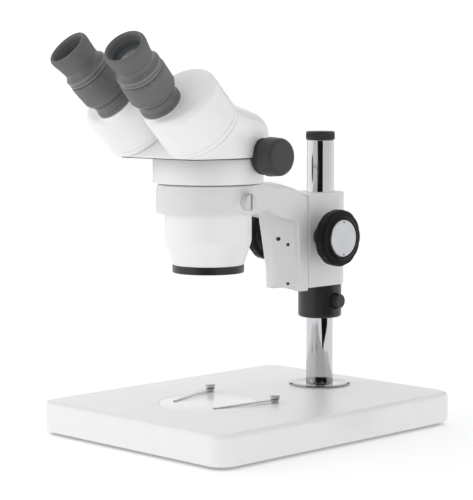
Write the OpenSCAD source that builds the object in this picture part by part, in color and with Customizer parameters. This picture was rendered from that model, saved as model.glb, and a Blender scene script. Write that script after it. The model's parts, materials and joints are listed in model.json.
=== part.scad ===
// Stereo microscope: binocular zoom head on a pole stand with a large flat base.
// Millimetres, +Z up, user side at -Y, origin on the bench under the middle of the outline.

/* [Base] */
// Width of the base
base_w = 234; // [200:1:260]
// Depth of the base
base_d = 300; // [280:1:320]
// Height of the base's top face above the bench
base_top = 30; // [26:1:36]
// Corner radius of the base in plan
base_corner = 17; // [10:1:30]
// Radius of the edge blend round the top and bottom of the base
base_edge = 3; // [1:0.5:5]
// Centre of the base along Y
base_y = 22.5; // [22.5:0.1:22.5]

/* [Stage] */
// Radius of the inset stage plate
plate_r = 44; // [38:1:50]
// Thickness of the stage plate
plate_t = 5; // [3:0.5:6]
// Distance of a clip post from the mid-plane
clip_x = 41; // [36:1:50]
// Distance of a clip post behind the optical axis
clip_back = 42; // [38:1:50]
// Length of a clip from its post to its tip
clip_len = 63; // [50:1:70]

/* [Stand] */
// Radius of the pole
pole_r = 12.5; // [12.5:0.5:16]
// Distance of the pole behind the base centre
pole_back = 93.2; // [90:0.1:100]
// Height of the top of the pole
pole_top = 259; // [250:1:290]
// Radius of the stop collar
collar_r = 20.2; // [18:0.1:22]
// Height of the underside of the stop collar
collar_z = 94; // [90:1:100]

/* [Focus block] */
// Half width of the focus block and of the arm
block_hx = 22; // [20:0.5:24]
// Height of the underside of the focus block
block_z = 125; // [125:1:125]
// Height of the top of the focus block
block_top = 211; // [205:1:215]
// Distance of the sliding face in front of the pole axis
slide_gap = 38.7; // [38.7:0.1:38.7]
// Distance of the focus shaft in front of the pole axis
shaft_gap = 23.7; // [23.7:0.1:23.7]
// Height of the focus shaft
shaft_z = 171.5; // [168:0.5:175]
// Radius of a focus knob
knob_r = 25.8; // [22:0.1:28]

/* [Head] */
// Distance of the optical axis in front of the base centre
axis_front = 51.5; // [51.5:0.1:51.5]
// Radius of the head's mounting barrel
barrel_r = 38; // [38:0.5:38]
// Outside radius of the holder ring
ring_r = 45.5; // [44:0.5:48]
// Radius of the band above the holder ring
band_r = 48.4; // [46:0.2:50]
// Height of the underside of the objective ring
nose_z = 146.3; // [146.3:0.1:146.3]
// Radius of the objective ring
nose_r = 31.5; // [30:0.5:33]
// Height of the seam between holder ring and band
seam_low = 224.8; // [224.8:0.1:224.8]
// Height of the seam between band and upper housing
seam_high = 247.1; // [247.1:0.1:247.1]

/* [Eyepieces] */
// Rise of the eyepieces above the horizontal
eye_rise = 44.2; // [43:0.1:46]
// Sideways turn of an eyepiece away from the mid-plane
eye_toe = 6.7; // [5:0.1:8]
// Radius of a prism box
box_r = 34.4; // [33:0.1:35]
// Depth of a prism box along its axis
box_depth = 41; // [40:0.5:42]
// Length of an eyepiece from the box to the eye end
eye_len = 69.2; // [66:0.1:72]

/* [Hidden] */
$fn = 96;

// running and sliding clearance, and the amount by which a cut passes a face
fit = 0.05;
cut = 1;
LEFT = -1;
RIGHT = 1;

white = "white";
cream = "gainsboro";
grey = "dimgray";
black = "#28282c";
steel = "silver";
brass = "goldenrod";
glass = "lightblue";

head_y = base_y - axis_front;
pole_y = base_y + pole_back;
clip_y = head_y + clip_back;
slide_y = pole_y - slide_gap;
shaft_y = pole_y - shaft_gap;

// base
foot_h = 3;
foot_r = 11;
foot_inset = 24;
base_wall = 7;
cover_inset = 4;
cover_t = 2;
cover_gap = 0.2;
skin_t = 9;
pole_seat = 8;
bolt_r = 5;
bolt_head_r = 11;
post_r = 2;
post_len = 11;
collar_top = block_z;
collar_screw_up = 16;
collar_screw_r = 3;

// dovetail slide between the focus block and the arm
tail_neck = 10.5;
tail_wide = 13.5;
tail_deep = 6.5;
gib_t = 2;
arm_gap = 0.6;
clamp_r = 3;
pinion_room = 8.2;

// rack and pinion of the focus drive
focus_module = 0.75;
focus_teeth = 18;
focus_pitch_r = focus_module * focus_teeth / 2;
rack_len = 62;
rack_hx = 5;
shaft_r = 4;
bush_r = 7;
bush_seat = 12;
knob_in = 37.6;
knob_out = 49;
disc_r = 17;

// zoom drive
zoom_y = head_y + 18;
zoom_z = 248.5;
zoom_module = 0.5;
zoom_teeth = 20;
zoom_pitch_r = zoom_module * zoom_teeth / 2;
zoom_shaft_r = 3;
zoom_bush_r = 5;
zoom_knob_r = 17;
zoom_knob_in = 50;
zoom_knob_out = 73;
knob_gap = 0.4;
channel_x = 14;
lens_r = 10;
rod_x = 28;
rod_r = 1.5;
rod_low = 158;
carriage_z = 196;
bush_x = 38;

// head shells: lower end, bore, and the shelf above the objective ring
shell_low = 153.2;
shell_bore = 34.4;
shelf_r = 30.5;
shelf_top = 160;
spigot_ring_r = 29;
seam_gap = 0.3;
shell_wall = 3.5;

// round back of the upper housing: a ball on each side of the mid-plane
ball_r = 22;
ball_back = 21.5;
ball_z = 265.5;

// prism boxes, in the frame of each box: +z out of the front face
box_x = 38.1;
box_y = head_y - 72.1;
box_z = 301.2;
box_toe = 3;
plate_depth = 4;
spigot_r = 13;
spigot_len = 6;
eye_in = 10.2;
eye_down = 10.9;
eye_off = 1.7;
tube_bore = 15.05;
tube_r = 16.5;

// ---------------------------------------------------------------- shared shapes

// Involute function in degrees
function inv(a) = tan(a) * 180 / PI - a;

// Half the angle that a gear tooth spans at radius r
function tooth_half(r, m, n, play) =
    let (rp = m * n / 2, rb = rp * cos(20), a = r > rb ? acos(rb / r) : 0)
    90 / n - play / rp * 90 / PI + inv(20) - inv(a);

// Outline of an involute gear with a tooth centred on +x
function gear_points(m, n, play = 0.12) =
    let (rp = m * n / 2, rb = rp * cos(20), ra = rp + 0.8 * m, rf = rp - 1.15 * m,
         radii = [rf, rb, rp - 0.2 * m, rp + 0.3 * m, ra])
    [for (i = [0 : n - 1])
        each concat(
            [for (r = radii) let (t = i * 360 / n - tooth_half(r, m, n, play)) r * [cos(t), sin(t)]],
            [for (k = [len(radii) - 1 : -1 : 0])
                let (r = radii[k], t = i * 360 / n + tooth_half(r, m, n, play)) r * [cos(t), sin(t)]])];

// Outline of a rack along x with its pitch line at y = 0, a gap at x = 0 and its back at -back
function rack_points(m, n, back, play = 0.12) =
    let (p = PI * m, add = 0.8 * m, ded = 1.15 * m, q = p / 4 - play / 2, s = tan(20))
    concat(
        [[-n * p / 2, -back]],
        [for (i = [0 : n - 1])
            let (x = (i - (n - 1) / 2) * p)
            each [[x - q - ded * s, -ded], [x - q + add * s, add],
                  [x + q - add * s, add], [x + q + ded * s, -ded]]],
        [[n * p / 2, -back]]);

// Rectangle with round corners, centred, as an exact solid
module rounded_slab(w, d, h, r) {
    translate([-w / 2 + r, -d / 2, 0]) cube([w - 2 * r, d, h]);
    translate([-w / 2, -d / 2 + r, 0]) cube([w, d - 2 * r, h]);
    for (x = [-1, 1], y = [-1, 1])
        translate([x * (w / 2 - r), y * (d / 2 - r), 0]) cylinder(r = r, h = h);
}

// Tube with its lower end at z = 0
module tube(ro, ri, h) {
    difference() {
        cylinder(r = ro, h = h);
        translate([0, 0, -cut]) cylinder(r = ri, h = h + 2 * cut);
    }
}

// Turned solid from a list of [radius, height] points
module turned(points) {
    rotate_extrude() polygon(points);
}

// Biconvex lens with its middle plane at z = 0
module lens(r, bulge, edge) {
    big = (r * r + bulge * bulge) / (2 * bulge);
    rotate_extrude() intersection() {
        translate([0, edge / 2 + bulge - big]) circle(r = big, $fn = 1440);
        translate([0, -edge / 2 - bulge + big]) circle(r = big, $fn = 1440);
        translate([0, -edge / 2 - bulge]) square([r, edge + 2 * bulge]);
    }
}

// Slotted round screw head with its shank going down from z = 0
module screw(head_r, head_h, shank_r, shank_len) {
    difference() {
        union() {
            cylinder(r = head_r, h = head_h);
            translate([0, 0, -shank_len]) cylinder(r = shank_r, h = shank_len + cut / 2);
        }
        translate([-head_r - cut, -head_r / 8, head_h * 0.55])
            cube([2 * head_r + 2 * cut, head_r / 4, head_h]);
    }
}

// Turns children so that their +z points along +X, or along -X for the left side
module along_x(side) {
    rotate([0, side * 90, 0]) children();
}

// Frame of a prism box: origin at the middle of its front face
module at_box(side) {
    translate([side * box_x, box_y, box_z])
        rotate([90 - eye_rise, 0, 0]) rotate([0, side * box_toe, 0]) children();
}

// Frame of an eyepiece: origin where its axis leaves the box
module at_eye(side) {
    at_box(side) translate([-side * eye_in, -eye_down, eye_off])
        rotate([0, side * (eye_toe - box_toe), 0]) children();
}

// ---------------------------------------------------------------- base and stage

module foot_spots() {
    for (x = [-1, 1], y = [-1, 1])
        translate([x * (base_w / 2 - foot_inset), base_y + y * (base_d / 2 - foot_inset), 0]) children();
}

module base_casting() {
    z0 = foot_h;
    h = base_top - foot_h;
    color(white) difference() {
        translate([0, base_y, 0]) union() {
            translate([0, 0, z0 + base_edge])
                rounded_slab(base_w, base_d, h - 2 * base_edge, base_corner);
            translate([0, 0, z0])
                rounded_slab(base_w - 2 * base_edge, base_d - 2 * base_edge, h, base_corner - base_edge);
        }
        // hollow underside round the pole boss, the plate seat, the foot bosses and the clip bosses
        difference() {
            translate([0, base_y, z0 + cover_t - cut / 2])
                rounded_slab(base_w - 2 * base_wall, base_d - 2 * base_wall,
                             h - skin_t - cover_t + cut / 2, base_corner - base_wall);
            translate([0, pole_y, 0]) cylinder(r = 30, h = base_top);
            translate([0, head_y, 0]) cylinder(r = plate_r + 8, h = base_top);
            foot_spots() cylinder(r = foot_r, h = base_top);
            for (x = [-1, 1]) translate([x * clip_x, clip_y, 0]) cylinder(r = 8, h = base_top);
        }
        // recess for the cover
        translate([0, base_y, -cut])
            rounded_slab(base_w - 2 * cover_inset, base_d - 2 * cover_inset,
                         z0 + cover_t + cut, base_corner - cover_inset);
        // seat of the stage plate
        translate([0, head_y, base_top - plate_t]) cylinder(r = plate_r + 0.2, h = plate_t + cut);
        // pole seat and its bolt
        translate([0, pole_y, base_top - pole_seat]) cylinder(r = pole_r + 0.1, h = pole_seat + cut);
        translate([0, pole_y, -cut]) cylinder(r = bolt_r + 0.5, h = base_top);
        translate([0, pole_y, -cut]) cylinder(r = bolt_head_r, h = 12 + cut);
        for (x = [-1, 1]) translate([x * clip_x, clip_y, base_top - post_len - 1])
            cylinder(r = post_r + fit, h = post_len + 1 + cut);
        foot_spots() cylinder(r = 2, h = 16);
    }
}

module base_cover() {
    color(grey) difference() {
        translate([0, base_y, foot_h])
            rounded_slab(base_w - 2 * (cover_inset + cover_gap), base_d - 2 * (cover_inset + cover_gap),
                         cover_t, base_corner - cover_inset - cover_gap);
        translate([0, pole_y, 0]) cylinder(r = bolt_head_r, h = 12);
        foot_spots() cylinder(r = 2.2, h = 12);
    }
}

module base_feet() {
    color(black) foot_spots() difference() {
        turned([[0, 0], [foot_r - 1, 0], [foot_r, 1], [foot_r, foot_h], [0, foot_h]]);
        translate([0, 0, -cut]) cylinder(r = 4.4, h = cut + 1.8);
        translate([0, 0, -cut]) cylinder(r = 2.2, h = 2 * foot_h);
    }
}

module base_screws() {
    color(steel) foot_spots() translate([0, 0, 1.7]) rotate([180, 0, 0]) screw(4.2, 1.2, 1.95, 12);
}

module stage_plate() {
    color(white) translate([0, head_y, base_top - plate_t]) turned([
        [0, 0], [plate_r - 0.4, 0], [plate_r, 0.4],
        [plate_r, plate_t - 0.4], [plate_r - 0.4, plate_t], [0, plate_t]]);
}

// Spring clip: a tapered strip that arches from its eye down to a tip on the plate
module clip_spring(side) {
    lean = side * 14.5;
    strip_t = 0.9;
    z_eye = 1.4;
    color(steel) translate([side * clip_x, clip_y, base_top]) rotate([0, 0, -lean]) difference() {
        union() {
            translate([0, 0, z_eye]) cylinder(r = 4, h = strip_t);
            intersection() {
                linear_extrude(6) polygon([
                    [-3.6, 0], [3.6, 0], [1.1, -clip_len + 1], [0, -clip_len], [-1.1, -clip_len + 1]]);
                rotate([90, 0, 90]) translate([0, 0, -6]) linear_extrude(12) polygon([
                    [5, z_eye], [5, z_eye + strip_t], [-7, z_eye + strip_t], [-24, 3.6], [-40, 3.2],
                    [-clip_len + 3, strip_t + 0.1], [-clip_len - 1, strip_t + 0.4], [-clip_len - 1, 0.5],
                    [-clip_len + 3, 0.1], [-40, 3.2 - strip_t], [-24, 3.6 - strip_t], [-7, z_eye]]);
            }
        }
        translate([0, 0, -cut]) cylinder(r = post_r + fit, h = 8);
    }
}

module clip_post(side) {
    color(steel) translate([side * clip_x, clip_y, base_top]) turned([
        [0, -post_len], [post_r, -post_len], [post_r, 0.03], [3.4, 0.03], [3.4, 1.35], [post_r, 1.35],
        [post_r, 2.4], [3.4, 2.4], [4.2, 2.9], [4.2, 6.4], [3.6, 7], [0, 7]]);
}

// ---------------------------------------------------------------- pole

module pole() {
    color(steel) translate([0, pole_y, 0]) difference() {
        turned([
            [0, base_top - pole_seat], [pole_r, base_top - pole_seat],
            [pole_r, pole_top - 1], [pole_r - 1, pole_top], [0, pole_top]]);
        translate([0, 0, base_top - pole_seat - cut]) cylinder(r = bolt_r, h = 31 + cut);
        translate([0, 0, pole_top - 12]) cylinder(r = 4, h = 12 + cut);
    }
}

module pole_flange() {
    color(black) translate([0, pole_y, base_top]) difference() {
        turned([[0, 0], [28.5, 0], [28.5, 1], [27.5, 2], [0, 2]]);
        translate([0, 0, -cut]) cylinder(r = pole_r + fit, h = 4);
    }
}

module pole_bolt() {
    color(steel) translate([0, pole_y, 4.5]) {
        difference() {
            cylinder(r = 8, h = 7);
            translate([0, 0, -cut]) cylinder(r = 5 / sqrt(3) * 1.6, h = 5 + cut, $fn = 6);
        }
        translate([0, 0, 6.9]) cylinder(r = bolt_r - fit, h = 40);
        translate([0, 0, 7]) cylinder(r = 10.5, h = 0.45);
    }
}

module pole_cap() {
    color(black) translate([0, pole_y, pole_top]) {
        turned([[0, 0], [13.2, 0], [13.4, 0.6], [13.4, 7], [12.4, 8], [0, 8]]);
        translate([0, 0, -11]) cylinder(r = 4 - fit, h = 11.5);
    }
}

// ---------------------------------------------------------------- stop collar

module stop_collar() {
    h = collar_top - collar_z;
    color(black) translate([0, pole_y, collar_z]) difference() {
        turned([
            [0, 0], [collar_r - 3, 0], [collar_r - 0.9, 0.9], [collar_r, 3],
            [collar_r, h - 0.8], [collar_r - 0.8, h], [0, h]]);
        translate([0, 0, -cut]) cylinder(r = pole_r + fit, h = h + 2 * cut);
        translate([0, 0, collar_screw_up]) along_x(RIGHT) {
            translate([0, 0, pole_r - 2]) cylinder(r = collar_screw_r + fit, h = 20);
            translate([0, 0, collar_r - 1.2]) cylinder(r = 7.2, h = 6);
        }
    }
}

module collar_screw() {
    color(black) translate([0, pole_y, collar_z + collar_screw_up]) along_x(RIGHT) {
        translate([0, 0, pole_r + 0.02]) cylinder(r = collar_screw_r, h = collar_r - pole_r);
        translate([0, 0, collar_r - 1])
            turned([[0, 0], [6, 0], [6.6, 0.6], [6.6, 6.4], [5.8, 7.2], [0, 7.2]]);
    }
}

// ---------------------------------------------------------------- focus block

module dovetail(extra, low, high) {
    translate([0, slide_y, low]) linear_extrude(high - low) polygon([
        [-tail_neck - extra, -cut], [tail_neck + extra, -cut], [tail_neck + extra, 0],
        [tail_wide + extra, tail_deep + extra], [-tail_wide - extra, tail_deep + extra],
        [-tail_neck - extra, 0]]);
}

module focus_housing() {
    color(cream) difference() {
        union() {
            translate([0, pole_y, block_z]) cylinder(r = block_hx, h = block_top - block_z);
            translate([-block_hx, slide_y, block_z]) cube([2 * block_hx, slide_gap, block_top - block_z]);
        }
        translate([0, pole_y, block_z - cut]) cylinder(r = pole_r + fit, h = 120);
        dovetail(fit, block_z - cut, block_top + cut);
        // room for the gib beside the left flank
        translate([0, slide_y, block_z - cut]) linear_extrude(120) polygon([
            [-tail_neck - gib_t - fit, -cut], [0, -cut], [0, tail_deep + fit],
            [-tail_wide - gib_t - fit, tail_deep + fit], [-tail_neck - gib_t - fit, 0]]);
        // room for the rack, and the pinion pocket
        translate([-rack_hx - 1, slide_y, block_z - cut]) cube([2 * rack_hx + 2, 10, 120]);
        translate([-rack_hx - 1, shaft_y, shaft_z]) along_x(RIGHT)
            cylinder(r = pinion_room, h = 2 * rack_hx + 2);
        translate([-rack_hx - 1, slide_y, shaft_z - pinion_room])
            cube([2 * rack_hx + 2, shaft_y - slide_y, 2 * pinion_room]);
        // shaft tunnel with bush seats
        translate([-block_hx - cut, shaft_y, shaft_z]) along_x(RIGHT) cylinder(r = shaft_r + 0.5, h = 60);
        for (side = [LEFT, RIGHT])
            translate([side * bush_seat, shaft_y, shaft_z]) along_x(side) cylinder(r = bush_r, h = 20);
        // clamp screw tunnel at the back
        translate([0, pole_y + pole_r - 1, shaft_z]) rotate([-90, 0, 0]) cylinder(r = clamp_r + fit, h = 20);
    }
}

module shaft_bushes() {
    start = bush_seat + fit;
    color(brass) for (side = [LEFT, RIGHT])
        translate([side * start, shaft_y, shaft_z]) along_x(side) difference() {
        union() {
            cylinder(r = bush_r - 0.02, h = block_hx - start);
            translate([0, 0, block_hx - start]) cylinder(r = bush_r + 2, h = 1.5);
        }
        translate([0, 0, -cut]) cylinder(r = shaft_r + fit, h = 20);
    }
}

module slide_gib() {
    low = 0.3;
    high = tail_deep - 0.2;
    lean = (tail_wide - tail_neck) / tail_deep;
    inside = tail_neck + 2 * fit;
    color(brass) translate([0, slide_y, block_z + 2]) linear_extrude(block_top - block_z - 4) polygon([
        [-inside - gib_t + 0.1 - lean * low, low], [-inside - lean * low, low],
        [-inside - lean * high, high], [-inside - gib_t + 0.1 - lean * high, high]]);
}

module housing_clamp_screw() {
    color(black) translate([0, pole_y, shaft_z]) rotate([-90, 0, 0]) {
        translate([0, 0, pole_r + 0.02]) cylinder(r = clamp_r, h = block_hx - pole_r + 1);
        translate([0, 0, block_hx + 0.3])
            turned([[0, 0], [5, 0], [5, 2], [8.4, 2], [9, 2.6], [9, 12], [8, 13], [0, 13]]);
    }
}

module focus_shaft() {
    reach = knob_out - 2;
    color(steel) translate([-reach, shaft_y, shaft_z]) along_x(RIGHT) cylinder(r = shaft_r, h = 2 * reach);
}

module focus_pinion() {
    color(brass) translate([-rack_hx, shaft_y, shaft_z]) along_x(RIGHT) difference() {
        rotate([0, 0, -90]) linear_extrude(2 * rack_hx) polygon(gear_points(focus_module, focus_teeth));
        translate([0, 0, -cut]) cylinder(r = shaft_r, h = 20);
    }
}

module focus_knob(side) {
    face = knob_out - knob_in;
    lip = face + 2;
    color(black) translate([side * knob_in, shaft_y, shaft_z]) along_x(side) difference() {
        turned([
            [0, 0], [knob_r - 3, 0], [knob_r - 0.9, 0.9], [knob_r, 3],
            [knob_r, face - 1.5], [knob_r - 1.5, face], [disc_r + 1.2, lip],
            [disc_r + 0.1, lip], [disc_r + 0.1, face], [0, face]]);
        translate([0, 0, -cut]) tube(knob_r - 4.5, 9, 8 + cut);
        translate([0, 0, -cut]) cylinder(r = shaft_r, h = face - 2 + cut);
    }
}

module knob_discs() {
    color(steel) for (side = [LEFT, RIGHT]) translate([side * knob_out, shaft_y, shaft_z]) along_x(side)
        turned([[0, 0], [disc_r, 0], [disc_r, 1.6], [disc_r - 0.6, 2.2], [0, 2.2]]);
}

// ---------------------------------------------------------------- arm and holder ring

arm_back = slide_y - arm_gap;
arm_top = 224.5;
ring_low = 198.7;
ring_screw_z = 210;
ring_screw_r = 3;
ring_boss_r = 8.2;
ring_boss = 1.5;
flare_r = 18;
tail_low = 127;
tail_len = 80;

// Sections of the tapered web below the arm: half width and distance behind the optical axis
web_low = 126.8;
web_high = 200;
web_foot = [[5, 80], [19, 97]];
web_root = [[11, 71], [15, 97]];

// Side outline of the full-width part of the arm, as distance behind the optical axis and height
arm_outline = [
    [40, arm_top], [63.5, arm_top], [76.5, 222.3], [90.5, 218.5], [100.5, 213.8],
    [arm_back - head_y, block_top], [arm_back - head_y, 124], [95.3, 124.3], [91.8, 189.3],
    [85.4, 190.9], [71.5, 193.8], [61.5, 197.7], [52.5, 200], [42.5, 199.2], [40, 198.5]];

// Set screws in the right face of the web: X, distance behind the axis, height and radius
web_screws = [[10, 78.3, 171.4, 2.2], [13, 87.6, 165.6, 1.6], [12.2, 88.6, 129.8, 1.4]];

module side_extrude(half, points) {
    translate([-half, head_y, 0]) rotate([90, 0, 90]) linear_extrude(2 * half) polygon(points);
}

// Thin slice of the web at some height
module web_section(z, ends) {
    front = ends[0];
    back = ends[1];
    translate([0, head_y, z]) linear_extrude(0.5)
        polygon([[-front[0], front[1]], [front[0], front[1]], [back[0], back[1]], [-back[0], back[1]]]);
}

// Turns children to the place of each set screw in the web, with its radius in $r
module at_web_screws(sunk) {
    for (p = web_screws)
        translate([p[0] - sunk, head_y + p[1], p[2]]) along_x(RIGHT) let ($r = p[3]) children();
}

module head_holder() {
    flare_x = block_hx + flare_r;
    flare_y = head_y + sqrt(pow(ring_r + flare_r, 2) - flare_x * flare_x);
    color(cream) difference() {
        union() {
            translate([0, head_y, 0]) turned([
                [30, ring_low], [ring_r - 0.8, ring_low], [ring_r, ring_low + 0.8],
                [ring_r, 218], [ring_r - 1.3, arm_top], [30, arm_top]]);
            side_extrude(block_hx, arm_outline);
            hull() {
                web_section(web_low, web_foot);
                web_section(web_high, web_root);
            }
            // concave flare between ring and arm
            translate([0, 0, ring_low + 0.6]) linear_extrude(arm_top - ring_low - 0.6) difference() {
                polygon([[0, head_y + 20], [flare_x, flare_y], [-flare_x, flare_y]]);
                for (x = [-1, 1]) translate([x * flare_x, flare_y]) circle(r = flare_r);
            }
            // boss for the ring screw
            translate([ring_r - 6, head_y, ring_screw_z]) along_x(RIGHT)
                cylinder(r = ring_boss_r, h = 6 + ring_boss);
            // male dovetail and its neck
            dovetail(0, tail_low, tail_low + tail_len);
            translate([-tail_neck, arm_back - 1, tail_low]) cube([2 * tail_neck, arm_gap + 1.5, tail_len]);
        }
        translate([0, head_y, 150]) cylinder(r = barrel_r + fit, h = 100);
        translate([barrel_r - 2, head_y, ring_screw_z]) along_x(RIGHT)
            cylinder(r = ring_screw_r + fit, h = 30);
        // groove for the rack
        translate([-rack_hx, slide_y + 3, 120]) cube([2 * rack_hx, 10, 100]);
        at_web_screws(6) cylinder(r = $r, h = 10);
    }
}

module focus_rack() {
    teeth = floor(rack_len / (PI * focus_module));
    pitch_y = shaft_y - focus_pitch_r;
    back = pitch_y - slide_y - 3;
    color(steel) translate([-rack_hx + 0.2, pitch_y, shaft_z])
        rotate([90, 0, 90]) linear_extrude(2 * rack_hx - 0.4)
        rotate([0, 0, 90]) mirror([0, 1, 0]) polygon(rack_points(focus_module, teeth, back));
}

module holder_screws() {
    color(black) at_web_screws(6) difference() {
        cylinder(r = $r - fit, h = 5);
        translate([0, 0, 3.4]) cylinder(r = $r * 0.5, h = 3, $fn = 6);
    }
}

module ring_screw() {
    seat = ring_r + ring_boss;
    color(cream) translate([0, head_y, ring_screw_z]) along_x(RIGHT) {
        translate([0, 0, barrel_r + 0.02]) cylinder(r = ring_screw_r, h = seat - barrel_r);
        translate([0, 0, seat + 0.1]) screw(7.3, 6.5, ring_screw_r, 1);
    }
}

// ---------------------------------------------------------------- zoom head

module lower_housing() {
    top = seam_high - seam_gap;
    cone_low = shelf_top + 1;
    cone_high = 176;
    color(white) difference() {
        translate([0, head_y, 0]) turned([
            [20, shell_low], [31.2, shell_low], [32, 155], [37.4, 172.5], [barrel_r, 175],
            [barrel_r, seam_low], [band_r - 0.5, seam_low], [band_r, seam_low + 0.5],
            [band_r, top - 0.5], [band_r - 0.5, top], [20, top]]);
        // inside: a straight bore above a cone down to the shelf
        translate([0, head_y, cone_high]) cylinder(r = shell_bore, h = 100);
        translate([0, head_y, cone_low])
            cylinder(r1 = shelf_r, r2 = shell_bore, h = cone_high - cone_low + 0.01);
        translate([0, head_y, shelf_top]) cylinder(r = shelf_r, h = 1.01);
        // seat of the objective ring's spigot, the shelf's two windows and the rod seats
        translate([0, head_y, shell_low - cut]) cylinder(r = spigot_ring_r + fit, h = 4 + cut);
        for (x = [-1, 1]) translate([x * channel_x, head_y, 150]) cylinder(r = lens_r + 1, h = 20);
        for (x = [-1, 1]) translate([x * rod_x, head_y, rod_low - 0.1]) cylinder(r = rod_r, h = 3);
        zoom_bush_seats();
    }
}

// Split seats that the two housings leave for the zoom bushes
module zoom_bush_seats() {
    translate([-60, zoom_y, zoom_z]) along_x(RIGHT) cylinder(r = zoom_bush_r, h = 120);
}

module objective_ring() {
    color(black) translate([0, head_y, 0]) difference() {
        turned([
            [0, nose_z + 1.5], [26, nose_z + 1.5], [27, nose_z], [nose_r - 0.8, nose_z],
            [nose_r, nose_z + 0.8], [nose_r, 152.5], [nose_r - 0.5, 153], [spigot_ring_r, 153],
            [spigot_ring_r, 157], [27, 157], [27, 151.5], [0, 151.5]]);
        for (x = [-1, 1]) translate([x * channel_x, 0, nose_z - cut]) cylinder(r = lens_r, h = 10);
    }
}

module objective_lenses() {
    color(glass) for (x = [-1, 1]) translate([x * channel_x, head_y, 150]) lens(lens_r - 0.02, 0.8, 1.6);
}

// Outer form of the upper housing, drawn in by some amount
module upper_form(inset) {
    difference() {
        upper_hull(inset);
        translate([-100, -200, 0]) cube([200, 400, seam_high + inset]);
    }
}

module upper_hull(inset) {
    hull() {
        translate([0, head_y, seam_high + inset]) cylinder(r = band_r - inset, h = 9, $fn = 64);
        for (side = [LEFT, RIGHT]) {
            at_box(side) translate([0, 0, -box_depth - 3 - inset])
                cylinder(r = box_r - 1 - inset, h = 2.5, $fn = 48);
            translate([side * ball_r, head_y + ball_back, ball_z]) sphere(r = ball_r - inset, $fn = 36);
        }
    }
}

module upper_housing() {
    color(white) difference() {
        union() {
            difference() {
                upper_form(0);
                upper_form(shell_wall);
                translate([0, head_y, seam_high - cut]) cylinder(r = 31, h = 6);
            }
            translate([0, head_y, seam_high - 5]) tube(34.2, 31, 6);
        }
        // spigot bores and the bush seats
        for (side = [LEFT, RIGHT])
            at_box(side) translate([0, 0, -box_depth - 12]) cylinder(r = spigot_r + fit, h = 20);
        zoom_bush_seats();
        // spot faces that clear the zoom knobs
        for (side = [LEFT, RIGHT])
            translate([side * (zoom_knob_in - knob_gap), zoom_y, zoom_z]) along_x(side)
                cylinder(r = zoom_knob_r + knob_gap, h = 30);
        at_housing_screws(40) cylinder(r = 1.6, h = 20);
    }
}

// Turns children to the place of a housing screw on each side, starting at some distance from the mid-plane
module at_housing_screws(x) {
    for (side = [LEFT, RIGHT])
        translate([side * x, head_y + ball_back, ball_z + 0.5]) along_x(side) children();
}

module housing_screws() {
    color(steel) at_housing_screws(36) cylinder(r = 1.55, h = 7);
}

module zoom_rods() {
    color(steel) for (x = [-1, 1]) translate([x * rod_x, head_y, rod_low]) cylinder(r = rod_r, h = 76);
}

module zoom_bushes() {
    color(brass) for (side = [LEFT, RIGHT])
        translate([side * bush_x, zoom_y, zoom_z]) along_x(side) difference() {
            cylinder(r = zoom_bush_r - 0.02, h = 9);
            translate([0, 0, -cut]) cylinder(r = zoom_shaft_r + fit, h = 20);
        }
}

module zoom_shaft() {
    reach = zoom_knob_out - 4;
    color(steel) translate([-reach, zoom_y, zoom_z]) along_x(RIGHT)
        cylinder(r = zoom_shaft_r, h = 2 * reach);
}

module zoom_pinion() {
    color(brass) translate([-3, zoom_y, zoom_z]) along_x(RIGHT) difference() {
        rotate([0, 0, -90]) linear_extrude(6) polygon(gear_points(zoom_module, zoom_teeth, 0.1));
        translate([0, 0, -cut]) cylinder(r = zoom_shaft_r, h = 20);
    }
}

module zoom_knob(side) {
    length = zoom_knob_out - zoom_knob_in;
    color(grey) translate([side * zoom_knob_in, zoom_y, zoom_z]) along_x(side) difference() {
        turned([
            [0, 0], [15.4, 0], [16, 0.6], [16, 7], [zoom_knob_r, 8], [zoom_knob_r, 9.5],
            [16.2, length - 3], [15, length - 0.8], [13, length], [0, length]]);
        translate([0, 0, -cut]) cylinder(r = zoom_shaft_r, h = length - 4 + cut);
    }
}

module zoom_carriage() {
    color(grey) translate([0, head_y, carriage_z]) difference() {
        union() {
            cylinder(r = 33, h = 4);
            for (x = [-1, 1]) translate([x * channel_x, 0, -6]) cylinder(r = lens_r + 1.5, h = 12);
        }
        for (x = [-1, 1]) {
            translate([x * channel_x, 0, -7]) cylinder(r = lens_r, h = 20);
            translate([x * rod_x, 0, -7]) cylinder(r = rod_r + fit, h = 20);
        }
    }
}

module zoom_rack() {
    teeth = 30;
    pitch_y = zoom_y - zoom_pitch_r;
    rack_back = 2.6;
    half_len = teeth * PI * zoom_module / 2;
    half_w = 2.8;
    foot_z = carriage_z + 4;
    color(steel) {
        translate([-half_w, pitch_y, zoom_z]) rotate([90, 0, 90]) linear_extrude(2 * half_w)
            rotate([0, 0, 90]) mirror([0, 1, 0]) polygon(rack_points(zoom_module, teeth, rack_back, 0.1));
        translate([-half_w, pitch_y - rack_back, foot_z])
            cube([2 * half_w, rack_back - 0.7, zoom_z - half_len - foot_z + 0.5]);
    }
}

module zoom_lenses() {
    color(glass) for (x = [-1, 1])
        translate([x * channel_x, head_y, carriage_z]) lens(lens_r - 0.02, 1.2, 2);
}

// ---------------------------------------------------------------- prism boxes and eyepieces

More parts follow.
